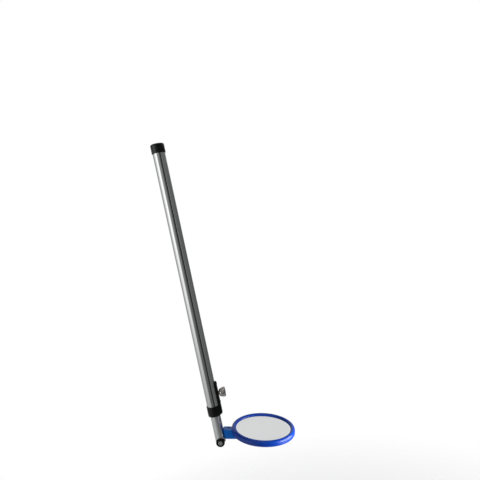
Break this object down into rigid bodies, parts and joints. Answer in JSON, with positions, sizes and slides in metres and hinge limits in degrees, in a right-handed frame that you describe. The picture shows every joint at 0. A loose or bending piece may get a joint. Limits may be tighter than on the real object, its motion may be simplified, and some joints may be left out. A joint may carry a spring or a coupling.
{
  "type": "telescoping inspection mirror",
  "caption": "Round tilting mirror in a blue rim on the end of a telescoping aluminium pole with a thumb-screw clamp, for looking under and behind things.",
  "frame": {"origin": "centre of the flat butt face of the handle, on the pole's axis", "axes": "+Z along the pole, out through the butt face, so the pole and the mirror lie at negative Z; +X towards the side that the thumb screw and the mirror are on; +Y towards the back of the hinge, where the lug and its nut are"},
  "size_m": [0.2073, 0.16, 0.7766],
  "materials": {
    "anodised_tube": "satin anodised, drawn lengthways",
    "inner_aluminium": "satin",
    "black_moulding": "semi-gloss",
    "blue_moulding": "gloss",
    "mirror_face": "polished",
    "plated_knob": "nickel plated",
    "zinc_steel": "zinc plated",
    "spring_steel": "oiled",
    "brass": "machined",
    "white_nylon": "matt",
    "rubber_washer": "matt",
    "foam": "closed-cell foam"
  },
  "bodies": {
    "handle": {"outer_tube": "anodised_tube", "end_cap": "black_moulding", "clamp_collar": "black_moulding", "lower_bush": "white_nylon", "thread_insert": "brass", "tongue_rivets": "spring_steel"},
    "clamp_pad": {"pressure_pad": "white_nylon"},
    "thumb_screw": {"clamp_screw": "zinc_steel", "thumb_knob": "plated_knob"},
    "slider": {"guide_bush": "white_nylon"},
    "inner_pole": {"inner_tube": "inner_aluminium", "top_plug": "white_nylon", "snap_ring": "spring_steel", "tee_fitting": "black_moulding", "tee_pin": "zinc_steel", "hinge_bolt": "zinc_steel", "bolt_washer": "zinc_steel", "friction_washer": "rubber_washer", "back_washer": "zinc_steel", "spring_washer": "spring_steel", "lock_nut": "zinc_steel"},
    "mirror_head": {"pivot_lug": "blue_moulding", "lug_bush": "white_nylon", "arm_block": "blue_moulding", "arm_screw": "zinc_steel", "arm_mount_screws": "zinc_steel", "back_shell": "blue_moulding", "bezel": "blue_moulding", "mirror_pane": "mirror_face", "foam_pad": "foam", "shell_screws": "zinc_steel"}
  },
  "joints": [
    {"name": "pole_slide", "type": "slide", "parent": "handle", "child": "slider", "axis": [0, 0, -1], "range_m": [0, 0.5]},
    {"name": "pole_swivel", "type": "hinge", "parent": "slider", "child": "inner_pole", "pos_m": [0, 0, -0.76], "axis": [0, 0, 1], "continuous": true},
    {"name": "head_tilt", "type": "hinge", "parent": "inner_pole", "child": "mirror_head", "pos_m": [0, 0, -0.76], "axis": [0, 1, 0], "range_deg": [0, 220]},
    {"name": "clamp_travel", "type": "slide", "parent": "handle", "child": "clamp_pad", "axis": [1, 0, 0], "range_m": [0, 0.002]},
    {"name": "clamp_turn", "type": "hinge", "parent": "clamp_pad", "child": "thumb_screw", "pos_m": [0.02, 0, -0.6385], "axis": [1, 0, 0], "range_deg": [0, 720]}
  ],
  "couplings": [
    {"joint": "clamp_turn", "follows": "clamp_travel", "rad_per_m": 6283.2}
  ]
}
